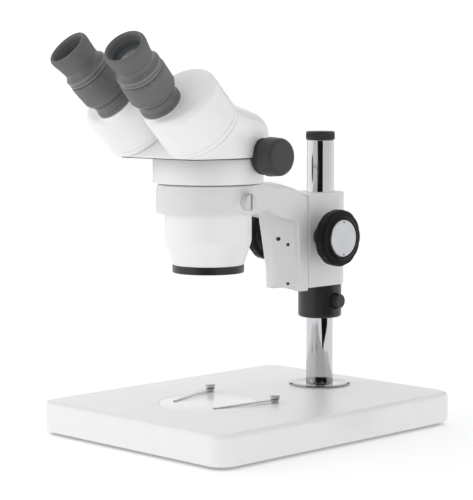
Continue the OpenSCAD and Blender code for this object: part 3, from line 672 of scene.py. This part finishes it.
def stop_collar():
    low, high = box_mm("stop_collar")
    r = (high.x - low.x) / 2
    screw_z = JOINTS["collar_screw_turn"]["pos_m"][2] / MM
    seat_r = 7.2
    knob_r = 6.6

    def field(x, y, z):
        out = np.hypot(x, y - pole_y)
        body = soft_and(out - r, low.z - z, 2.6)
        body = soft_and(body, z - high.z, 0.7)
        body = cut_away(body, out - pole_r - 0.05, 0.5)
        seat = soft_and(np.hypot(y - pole_y, z - screw_z) - seat_r, r - 1.2 - x, 0.2)
        return cut_away(body, seat, 0.5)

    cast("stop_collar_ring", "stop_collar", field, low, high, 0.8)
    head_low = r - 1
    turned("collar_thumb_screw", "collar_screw", sideways(RIGHT, 0, pole_y, screw_z), [
        (0, pole_r + 0.05), (3, pole_r + 0.05), (3, head_low), (knob_r - 0.6, head_low, 0.4),
        (knob_r, head_low + 0.7, 0.1), *knurl_zone(knob_r, head_low + 1.1, head_low + 5.9),
        (knob_r, head_low + 6.4, 0.2), (knob_r - 0.8, head_low + 7.2, 0.5), (0, head_low + 7.2)],
        segments=216, ridge=straight_knurl(36, 0.35, head_low + 1.15, head_low + 5.85, knob_r - 0.1))


# ---- focus block and its drive

block_half = 22
# dovetail slide: half widths at its neck and at its widest, and depth
tail_neck = 10.5
tail_wide = 13.5
tail_deep = 6.5


def dovetail_outline(front, extra):
    """Plan of the dovetail behind a sliding face, made wider all round by extra."""
    return [(-tail_neck - extra, front - 2), (tail_neck + extra, front - 2), (tail_neck + extra, front),
            (tail_wide + extra, front + tail_deep + extra), (-tail_wide - extra, front + tail_deep + extra),
            (-tail_neck - extra, front)]


def focus_housing():
    low, high = box_mm("focus_housing")
    slide_y = low.y

    def field(x, y, z):
        flat = soft_and(np.abs(x) - block_half, slide_y - y, 1.6)
        round_back = np.hypot(x, y - pole_y) - block_half
        plan = np.where(y > pole_y, round_back, np.maximum(flat, y - pole_y - 1))
        body = soft_and(plan, between(z, low.z, high.z), 1.4)
        body = cut_away(body, np.hypot(x, y - pole_y) - pole_r - 0.05, 0.6)
        groove = outline_field(x, y, dovetail_outline(slide_y, 0.5))
        return cut_away(body, groove, 0.5)

    cast("focus_block_casting", "focus_housing", field, low, high, 0.9)


def focus_knob(side, word):
    low, high = box_mm(f"focus_knob_{word}")
    inner = min(abs(low.x), abs(high.x))
    # the rim round the metal disc stands 2 mm out of the grip
    reach = abs(high.x - low.x) - 2
    r = (high.z - low.z) / 2
    bore_r = 4
    hub_r = 8.8
    dish_depth = 8
    disc_r = 17
    lobes = 12
    lobe_depth = 0.38
    rim_width = 3.2

    def ridge(angle, radius, z):
        if radius < r - rim_width:
            return 0
        share = min(1, (radius - r + rim_width) / 1.5)
        return share * lobe_depth * (0.5 - 0.5 * cos(lobes * angle)) ** 2

    turned(f"focus_knob_grip_{word}", f"focus_knob_{word}", sideways(side, inner, shaft_y, shaft_z), [
        (bore_r, 0, 0.3), (hub_r, 0, 0.3), (hub_r, dish_depth), (bore_r, dish_depth),
        (r - 3, 0, 0.5), (r - 0.9, 0.9, 0.8), (r, 3, 1.2), (r, reach - 1.5, 1.0), (r - 1.5, reach, 0.8),
        (disc_r + 3.4, reach + 0.5, 0.6), (disc_r + 1.4, reach + 2, 0.6), (disc_r + 0.1, reach + 2, 0.3),
        (disc_r + 0.1, reach), (0, reach)], segments=240, ridge=ridge)


def knob_discs():
    low, high = box_mm("knob_discs")
    disc_r = (high.z - low.z) / 2
    thick = 2.2
    mark_out = 14.7
    face = thick - 0.05
    disc = lathe([(0, 0), (disc_r, 0), (disc_r, 1.5, 0.3), (disc_r - 0.8, face, 0.3), (0, face)])
    mark = lathe([(0, 1), (0.9, 1), (0.9, thick), (0, thick)], segments=24)
    points, faces = gather([
        (sideways(side, high.x - thick, shaft_y, shaft_z + up), *shape)
        for side, _ in SIDES for up, shape in ((0, disc), (-mark_out, mark), (mark_out, mark))])
    discs = finish_mesh("focus_knob_discs", points, faces, UNMOVED, "knob_discs")
    refinish(discs, "knob_grey", UNMOVED,
             lambda x, y, z: abs(y - shaft_y) < 1 and abs(abs(z - shaft_z) - mark_out) < 1)


def rear_clamp_screw():
    low, high = box_mm("housing_clamp_screw")
    turn = Matrix.Rotation(radians(-90), 4, "X")
    place = Matrix.Translation((0, pole_y, shaft_z)) @ turn
    start = block_half + 0.3
    end = high.y - pole_y
    shank_r = 3
    neck_r = 5
    knob_r = 9
    turned("rear_clamp_knob", "housing_clamp_screw", place, [
        (0, low.y - pole_y), (shank_r, low.y - pole_y), (shank_r, start), (neck_r, start, 0.2),
        (neck_r, start + 2, 0.3), (knob_r - 0.6, start + 2, 0.3), (knob_r, start + 2.8, 0.2),
        *knurl_zone(knob_r, start + 3.1, end - 1.3), (knob_r, end - 0.9, 0.2), (knob_r - 1, end, 0.7),
        (0, end)],
        segments=240, ridge=straight_knurl(40, 0.45, start + 3.15, end - 1.35, knob_r - 0.2))


# ---- arm and holder ring

ring_r = 45.5
ring_low = 198.7
ring_top = box_mm("head_holder")[1].z - 0.9
chamfer_z = 218
chamfer_draft = 0.2
barrel_r = 38
flare = 18
arm_back = box_mm("focus_housing")[0].y - 0.6 - head_y
arm_crown = 3.2
ring_screw_z = JOINTS["ring_screw_turn"]["pos_m"][2] / MM
screw_seat = ring_r + 1.5
screw_boss_r = 8.2
tail_low = 127
tail_top = 207

# side outline of ring and arm: distance behind the optical axis, and height
arm_outline = [
    (-60, ring_low), (46, ring_low), (52.5, 200), (61.5, 197.7), (71.5, 193.8), (85.4, 190.9),
    (91.8, 189.3), (95.3, 124.3), (arm_back, 124), (arm_back, 211), (100.5, 213.8), (90.5, 218.5),
    (76.5, 222.3), (63.5, ring_top), (-60, ring_top)]

# tapered web below the arm, at its foot and its root: half width and distance behind the axis of its
# front edge, then of its back edge
web_low = 126.8
web_high = 200
web_foot = ((5, 80), (19, 97))
web_root = ((11, 71), (15, 97))
# the web runs this far up and back into the arm
web_top = 210
web_back = 99
# set screws in its right face: distance behind the axis, height and radius
web_screws = [(78.3, 171.4, 2.2), (87.6, 165.6, 1.6), (88.6, 129.8, 1.4)]


def web_section(z):
    """Half width and place of the web's front edge at a height, and how fast it widens to the back."""
    t = np.clip((z - web_low) / (web_high - web_low), 0, 1)
    front_half, front, back_half, back = (
        a + (b - a) * t for low_end, high_end in zip(web_foot, web_root) for a, b in zip(low_end, high_end))
    return front_half, front, (back_half - front_half) / (back - front)


def web_field(x, behind, z):
    """Field of the web, negative inside."""
    front_half, front, slope = web_section(z)
    flank = (np.abs(x) - front_half - slope * (behind - front)) / np.hypot(1, slope)
    body = soft_and(flank, front - behind, 2.5)
    body = soft_and(body, between(z, web_low, web_top), 1)
    return np.maximum(body, behind - web_back)


def head_holder():
    low, high = box_mm("head_holder")
    slide_y = box_mm("focus_housing")[0].y

    def field(x, y, z):
        behind = y - head_y
        out = np.hypot(x, behind)
        # plan of ring and arm with the hollow flares between them
        shank = np.maximum(np.abs(x) - block_half, -behind)
        plan = soft_or(out - ring_r, shank, flare)
        plan = plan + chamfer_draft * np.maximum(z - chamfer_z, 0)
        # the arm's top is crowned across its width
        along = np.clip((behind - ring_r) / 20, 0, 1)
        crown = arm_crown * (x / block_half) ** 2 * along
        side = outline_field(behind, z + crown, arm_outline)
        blend = 1.0 + 2.5 * along * np.clip((z - 190) / 20, 0, 1)
        body = soft_and(plan, side, blend)
        body = soft_or(body, web_field(x, behind, z), 2)
        boss = soft_and(np.hypot(behind, z - ring_screw_z) - screw_boss_r, x - screw_seat, 0.8)
        body = soft_or(body, np.maximum(boss, 20 - x), 1.6)
        # male dovetail on the back
        tail = outline_field(x, y, dovetail_outline(slide_y, 0))
        tail = soft_and(tail, between(z, tail_low, tail_top), 0.5)
        body = np.minimum(body, np.maximum(tail, slide_y - 1.5 - y))
        return cut_away(body, out - barrel_r - 0.05, 0.8)

    cast("arm_and_ring", "head_holder", field, low, high, 1.0)


def holder_screws():
    parts = []
    for behind, z, r in web_screws:
        front_half, front, slope = web_section(z)
        spot = (front_half + slope * (behind - front), head_y + behind, z)
        facing = Vector((1, -slope, 0)).to_track_quat("Z", "Y").to_matrix().to_4x4()
        screw = lathe([(0, -1.5), (r, -1.5), (r, 0.12, 0.1), (0, 0.12)], segments=48)
        parts.append((Matrix.Translation(spot) @ facing, *screw))
    finish_mesh("web_set_screws", *gather(parts), UNMOVED, "holder_screws")


def ring_screw():
    low, high = box_mm("ring_screw")
    place = sideways(RIGHT, 0, head_y, ring_screw_z)
    head_low = screw_seat + 0.1
    head_r = 7.3
    slot_half = 0.95
    slot_depth = 2.6
    shank_r = 3

    def field(x, y, z):
        out = np.hypot(x, y)
        body = soft_and(out - head_r, z - high.x, 1.1)
        body = soft_and(body, head_low - z, 0.3)
        slot = soft_and(np.abs(y) - slot_half, high.x - slot_depth - z, 0.2)
        body = cut_away(body, slot, 0.25)
        shank = soft_and(out - shank_r, between(z, low.x, head_low + 1), 0.2)
        return np.minimum(body, shank)

    screw = cast("ring_clamp_screw", "ring_screw", field,
                 (-head_r, -head_r, low.x), (head_r, head_r, high.x), 0.45, place)
    refinish(screw, "screw_grey", place, lambda x, y, z: True)


# ---- zoom head

band_r = 48.4
groove_height = 0.9
groove_depth = 3.6
mouth_r = 32


def lower_housing():
    low, high = box_mm("lower_housing")
    bore_r = 24
    band_low = 224.8
    top = high.z
    shell = turned("lower_housing_shell", "lower_housing", upright(head_y, 0), [
        (bore_r, low.z), (31.2, low.z, 0.3), (32, 155, 1), (barrel_r, 174, 16), (barrel_r, band_low),
        (band_r - 0.5, band_low, 0.2), (band_r, band_low + 0.5, 0.4), (band_r, top - 0.5, 0.4),
        (band_r - 0.5, top, 0.2), (band_r - groove_depth, top), (band_r - groove_depth, top - 0.5),
        (bore_r, top - 0.5)], closed=True, segments=192)
    # the faces inside the seam groove on top get black metal, painted shade that darkens the seam line
    refinish(shell, "black_metal", upright(head_y, 0),
             lambda x, y, z: z > top - 0.6 and hypot(x, y) < band_r - 1)


def objective_ring():
    low, high = box_mm("objective_ring")
    lens_x = 14
    lens_r = 10
    outer_r = 31.5
    rim_top = 153
    dish_r = 26.5
    dish_depth = 1.5
    spigot_r = 29
    spigot_top = 157

    def field(x, y, z):
        out = np.hypot(x, y - head_y)
        body = soft_and(out - outer_r, between(z, low.z, rim_top), 0.7)
        dish = soft_and(out - dish_r, z - low.z - dish_depth, 0.4)
        body = cut_away(body, dish, 0.5)
        spigot = soft_and(out - spigot_r, between(z, rim_top - 1, spigot_top), 0.4)
        body = np.minimum(body, spigot)
        for side, _ in SIDES:
            bore = np.hypot(x - side * lens_x, y - head_y) - lens_r
            body = cut_away(body, bore, 0.5)
        return body

    cast("objective_ring_black", "objective_ring", field, low, high, 0.8)


# The upper housing is the tight skin round a few discs and balls, rounded by housing_round
housing_round = 1.2
box_r = 34.4
box_depth = 41
plate_depth = 4
# the balls round off the housing's shoulders behind the optical axis
ball_r = 22
ball_behind = 21.5
ball_z = 265.5
# distance of a diopter ring's joint from the box, along its eyepiece
ring_out = 24


def prism_frame(word):
    """Frame of a prism box: origin at the middle of its front face, +z out of it."""
    return joint_frame(f"eye_spacing_{word}", -box_depth)


def eye_frame(word):
    """Frame of an eyepiece: origin where its axis leaves the box."""
    return joint_frame(f"diopter_{word}_turn", ring_out)


def housing_reach(normals):
    """Distance of the housing's supporting plane along each outward normal."""
    reach = np.full(len(normals), -1e9)
    discs = [(Vector((0, head_y, z)), Vector((0, 0, 1)), band_r) for z in (seam_high - 12, seam_high + 8)]
    for side, word in SIDES:
        place = prism_frame(word)
        axis = place.to_3x3() @ Vector((0, 0, 1))
        for depth in (box_depth + 0.4, box_depth + 3):
            discs.append((place @ Vector((0, 0, -depth)), axis, box_r - 0.3))
    for centre, axis, r in discs:
        n_axis = normals @ np.array(axis)
        flat = normals @ np.array(centre) + (r - housing_round) * np.sqrt(np.maximum(1 - n_axis ** 2, 0))
        reach = np.maximum(reach, flat - housing_round * np.abs(n_axis))
    for side, _ in SIDES:
        centre = np.array((side * ball_r, head_y + ball_behind, ball_z))
        reach = np.maximum(reach, normals @ centre + ball_r - housing_round)
    return reach + housing_round


def upper_housing():
    around, upward = 240, 110
    heart = np.array((0, head_y - 6, seam_high + groove_height))
    rows = []
    for i in range(upward):
        lift = pi / 2 * i / upward
        turn = np.arange(around) * 2 * pi / around
        rows.append(np.stack([np.cos(turn) * cos(lift), np.sin(turn) * cos(lift),
                              np.full(around, sin(lift))], 1))
    rays = np.concatenate(rows + [np.array([[0, 0, 1.0]])])
    # first the nearest of many supporting planes along each ray, then that plane turned to fit closer
    count = 6000
    k = np.arange(count) + 0.5
    polar = np.arccos(1 - 2 * k / count)
    spin = pi * (1 + 5 ** 0.5) * k
    normals = np.stack([np.cos(spin) * np.sin(polar), np.sin(spin) * np.sin(polar), np.cos(polar)], 1)
    room = housing_reach(normals) - normals @ heart
    best = np.zeros((len(rays), 3))
    for start in range(0, len(rays), 2000):
        facing = normals @ rays[start:start + 2000].T
        length = np.where(facing > 0.02, room[:, None] / np.maximum(facing, 0.02), 1e9)
        best[start:start + 2000] = normals[np.argmin(length, axis=0)]

    def length_of(candidate):
        facing = (candidate * rays).sum(1)
        gap = housing_reach(candidate) - candidate @ heart
        return np.where(facing > 0.01, gap / np.maximum(facing, 0.01), 1e9)

    length = length_of(best)
    swing = 0.04
    for _ in range(22):
        # two directions across each plane's normal
        one = np.cross(best, (0.31, 0.52, 0.79))
        one /= np.linalg.norm(one, axis=1)[:, None]
        two = np.cross(best, one)
        for step in (one, -one, two, -two):
            candidate = best + swing * step
            candidate /= np.linalg.norm(candidate, axis=1)[:, None]
            trial = length_of(candidate)
            better = trial < length
            best[better] = candidate[better]
            length = np.minimum(length, trial)
        swing *= 0.72
    points = heart + rays * length[:, None]
    rings = [range(i * around, (i + 1) * around) for i in range(upward)] + [[len(points) - 1]]
    faces = [face for lower, upper in zip(rings, rings[1:]) for face in band(lower, upper)]
    # groove above the seam, then the flat seam face round the mouth that the zoom rack passes through
    rim = points[:around, :2] - (0, head_y)
    radius = np.linalg.norm(rim, axis=1)

    def ring(reach, z):
        plan = rim / radius[:, None] * reach[:, None] + (0, head_y)
        return np.column_stack([plan, np.full(around, z)])

    start = len(points)
    groove = radius - groove_depth
    points = np.concatenate([
        points, ring(groove, seam_high + groove_height), ring(groove, seam_high),
        ring(np.full(around, mouth_r), seam_high)])
    below = [rings[0]] + [range(start + i * around, start + (i + 1) * around) for i in range(3)]
    for upper, lower in zip(below, below[1:]):
        faces.extend(band(lower, upper))
    shell = finish_mesh("upper_housing_shell", points, faces, UNMOVED, "upper_housing", crease=60)
    # the groove walls and the seam face get black metal, painted shade that darkens the seam line
    refinish(shell, "black_metal", upright(0, seam_high), lambda x, y, z: z < groove_height - 0.01)


def zoom_knob(side, word):
    low, high = box_mm(f"zoom_knob_{word}")
    inner = min(abs(low.x), abs(high.x))
    length = high.x - low.x
    bore_r = 3
    knurl_r = 15.9
    groove_r = 15.2
    r = 17
    turned(f"zoom_knob_grip_{word}", f"zoom_knob_{word}", sideways(side, inner, zoom_y, zoom_z), [
        (0, length - 4), (bore_r, length - 4), (bore_r, 0), (knurl_r - 0.5, 0, 0.3),
        (knurl_r, 0.5, 0.1), *knurl_zone(knurl_r, 0.8, 6.2), (knurl_r, 6.6, 0.1),
        (groove_r, 7), (groove_r, 7.5), (r - 0.4, 7.6, 0.1), (r, 8.2, 0.4), (r, 9.5, 0.5),
        (r - 0.8, length - 3, 1.2), (15, length - 0.8, 0.9), (13, length, 0.9), (0, length)],
        segments=360, ridge=straight_knurl(60, 0.45, 0.85, 6.15, knurl_r - 0.1))


# ---- prism boxes and eyepieces

box_edge_r = 6
tube_r = 16.5
tube_depth = 9
boss_r = 18.9
# the two ribs of an eyepiece, as heights along its axis; their lighter finish is a painted highlight
rib_places = (37.4, 41.4)


def prism_box(word):
    place = prism_frame(word)
    to_eye = np.array((place.inverted() @ eye_frame(word)).inverted())
    back = -box_depth + plate_depth
    low = (-box_r, -box_r, back)
    high = (box_r, box_r, 3)

    def field(x, y, z):
        out = np.hypot(x, y)
        body = soft_and(out - box_r, z, box_edge_r)
        body = soft_and(body, back - z, 0.25)
        ex, ey, ez = (row[0] * x + row[1] * y + row[2] * z + row[3] for row in to_eye[:3])
        from_eye = np.hypot(ex, ey)
        boss = soft_and(from_eye - boss_r, between(ez, -10, -0.5), 0.6)
        body = soft_or(body, boss, 1.2)
        return cut_away(body, np.maximum(from_eye - tube_r, -tube_depth - ez), 0.3)

    cast(f"prism_drum_{word}", f"prism_box_{word}", field, low, high, 1.0, place)


def prism_plate(word):
    place = prism_frame(word) @ Matrix.Translation((0, 0, -box_depth))
    turned(f"prism_backplate_{word}", f"prism_plate_{word}", place, [
        (10, -6), (13, -6, 0.4), (13, 0), (box_r - 0.1, 0, 0.3), (box_r - 0.1, plate_depth, 0.2),
        (10, plate_depth)], closed=True, segments=144)


def eyepiece(word):
    """Sleeve in the prism box, and what slides in it: body with two ribs, diopter ring, eyecup and lens."""
    place = eye_frame(word)
    bore_r = 15.05
    collar_r = 18.2
    neck_r = 17.2
    turned(f"eyepiece_sleeve_{word}", f"eyepiece_tube_{word}", place, [
        (bore_r, -tube_depth), (tube_r, -tube_depth), (tube_r, -0.4), (collar_r, -0.4, 0.3),
        (collar_r, 2.4, 0.5), (neck_r, 3.4, 0.5), (neck_r, 10, 0.3), (16.6, 10.6, 0.2), (bore_r, 10.6)],
        closed=True)
    rib_r = 20
    ribs = []
    for z in rib_places:
        ribs += [(rib_r - 0.5, z - 0.7), (rib_r, z - 0.4, 0.2)]
        ribs += [(rib_r, z + 0.4, 0.2), (rib_r - 0.5, z + 0.7)]
    inner_r = 12.5
    stem_r = 16
    flange_r = 19.3
    spigot_r = 15.6
    lens_seat_r = 13.5
    body = turned(f"eyepiece_body_{word}", f"eyepiece_barrel_{word}", place, [
        (inner_r, -8), (15, -8, 0.5), (15, 10.7), (neck_r, 10.7, 0.3), (neck_r, 12, 0.2),
        (stem_r, 12.2), (stem_r, 36.2), (flange_r, 36.4, 0.2), *ribs, (flange_r, 42.6, 0.8),
        (17.3, 45.4, 0.8), (17.1, 46, 0.2), (17.1, 50, 0.2), (spigot_r, 50), (spigot_r, 61, 0.3),
        (lens_seat_r, 61, 0.3), (lens_seat_r, 53), (inner_r, 53)], closed=True)
    # the ribs' outer faces get the lighter finish, a painted highlight
    refinish(body, "rib_painted_highlight", place, lambda x, y, z: (
        hypot(x, y) > rib_r - 0.4 and min(abs(z - rib) for rib in rib_places) < 0.7))
    grip_r = 20.7
    grip_rows = [(grip_r, 16.2 + 0.5 * k) for k in range(35)]
    turned(f"diopter_grip_{word}", f"diopter_ring_{word}", place, [
        (16.05, 12.3), (18.8, 12.3, 0.3), (19.5, 13, 0.4), (19.7, 14.6, 1), (grip_r, 16), *grip_rows,
        (grip_r, 33.4), (20.5, 34.2, 0.3), (19.8, 36.1, 0.3), (16.05, 36.1)],
        closed=True, segments=288, ridge=straight_knurl(72, 0.22, 16.1, 33.3, grip_r - 0.1))
    cup_bore_r = 15.65
    turned(f"eyecup_rubber_{word}", f"eyecup_{word}", place, [
        (cup_bore_r, 50.05), (17.1, 50.05, 0.3), (17.4, 52, 1), (18.0, 57, 1), (18.7, 61.5, 1.5),
        (18.6, 64.6, 2.2), (17.6, 66.4, 1), (16.2, 66.5, 0.7), (15, 64.8, 0.8), (14.4, 62.5, 0.8),
        (14.2, 61.05, 0.2), (cup_bore_r, 61.05)], closed=True)
    lens_r = 13.4
    turned(f"eye_lens_glass_{word}", f"eye_lens_{word}", place, [
        (0, 54), (6, 54.4, 8), (lens_r, 55.4), (lens_r, 56.8, 0.2), (9, 57.3, 8), (0, 57.9)])


# ---- run

base_casting()
stage_plate()
for side, word in SIDES:
    clip_spring(side, word)
    clip_post(word)
pole_pieces()
stop_collar()
focus_housing()
for side, word in SIDES:
    focus_knob(side, word)
knob_discs()
rear_clamp_screw()
head_holder()
holder_screws()
ring_screw()
lower_housing()
objective_ring()
upper_housing()
for side, word in SIDES:
    zoom_knob(side, word)
    prism_box(word)
    prism_plate(word)
    eyepiece(word)


# ---- floor, light and camera

def light_table():
    """White floor that glows a little, as a photographer's light table does."""
    white = (0.88, 0.88, 0.88)
    material = finish("floor_white", (white, white), 0.8, mottle=2, spread=0.02)
    tree = material.node_tree
    plug(tree, tree.nodes["Principled BSDF"], {
        "Emission Color": (1, 1, 1, 1), "Emission Strength": 0.3, "Specular IOR Level": 0.2})
    return material


floor_half = 30
floor_corners = [(x * floor_half, y * floor_half, 0) for x, y in ((-1, -1), (1, -1), (1, 1), (-1, 1))]
floor_mesh = bpy.data.meshes.new("floor")
floor_mesh.from_pydata(floor_corners, [], [(0, 1, 2, 3)])
floor_mesh.materials.append(light_table())
floor = bpy.data.objects.new("floor", floor_mesh)
scene.collection.objects.link(floor)

# middle of the picture
aim = Vector((-0.0194, 0.0252, 0.1607))


def heading(azimuth, rise):
    """Direction out from the object. Azimuth 0 is towards -Y and 90 towards +X."""
    a = radians(azimuth)
    e = radians(rise)
    return Vector((sin(a) * cos(e), -cos(a) * cos(e), sin(e)))


def point_at_object(thing, azimuth, rise, distance):
    """Places a camera or lamp out along a heading, pointing back at the middle of the picture."""
    out = heading(azimuth, rise)
    thing.location = aim + out * distance
    thing.rotation_euler = (-out).to_track_quat("-Z", "Y").to_euler()
    scene.collection.objects.link(thing)


camera_data = bpy.data.cameras.new("camera")
camera_data.lens = 128.87
camera_data.sensor_width = 36
camera_data.sensor_fit = "AUTO"
camera_data.clip_end = 200
camera = bpy.data.objects.new("camera", camera_data)
point_at_object(camera, azimuth=45.16, rise=5.35, distance=1.621)
scene.camera = camera

softbox = bpy.data.lights.new("key_left", "AREA")
softbox.energy = 3
softbox.size = 1.2
point_at_object(bpy.data.objects.new("key_left", softbox), azimuth=-40, rise=38, distance=1.8)

card_lift = 0.001


def dark_card(name, azimuth, distance, outline):
    """Black card standing on the floor, seen only in reflections.

    The outline is a list of half widths and heights, from the foot up.
    """
    mesh = bpy.data.meshes.new(name)
    corners = [(half, 0, height) for half, height in outline]
    corners += [(-half, 0, height) for half, height in reversed(outline)]
    mesh.from_pydata(corners, [], [tuple(range(len(corners)))])
    black = (0.01, 0.01, 0.01)
    mesh.materials.append(finish(name, (black, black), 0.9, shine=0.0))
    card = bpy.data.objects.new(name, mesh)
    card.location = heading(azimuth, 0) * distance + Vector((0, 0, card_lift))
    card.rotation_euler = (0, 0, radians(azimuth))
    card.visible_camera = False
    card.visible_diffuse = False
    card.visible_shadow = False
    card.visible_transmission = False
    scene.collection.objects.link(card)


dark_card("card_front", 42, 0.42, [(0.05, 0), (0.24, 0.11), (0.29, 0.22), (0.29, 0.45)])
dark_card("card_low", 113, 0.155, [(0.014, 0), (0.03, 0.03), (0.1, 0.062), (0.1, 0.12)])
dark_card("card_back_left", -112, 2.2, [(0.22, 0), (0.22, 1.2)])
dark_card("card_back_right", -158, 2.2, [(0.22, 0), (0.22, 1.2)])


def studio_world():
    """Bright all round, a little darker overhead and towards +X."""
    world = bpy.data.worlds.new("studio")
    world.use_nodes = True
    tree = world.node_tree

    def multiply_add(value, factor, more):
        node = tree.nodes.new("ShaderNodeMath")
        node.operation = "MULTIPLY_ADD"
        plug(tree, node, {0: value, 1: factor, 2: more})
        return node.outputs["Value"]

    place = tree.nodes.new("ShaderNodeTexCoord").outputs["Generated"]
    split = add_node(tree, "ShaderNodeSeparateXYZ", {"Vector": place})
    side = multiply_add(split.outputs["X"], -0.2, 1.1)
    strength = multiply_add(split.outputs["Z"], -0.45, side)
    plug(tree, tree.nodes["Background"], {"Color": (1, 1, 1, 1), "Strength": strength})
    return world


world = studio_world()
scene.world = world
scene.view_settings.view_transform = "Standard"
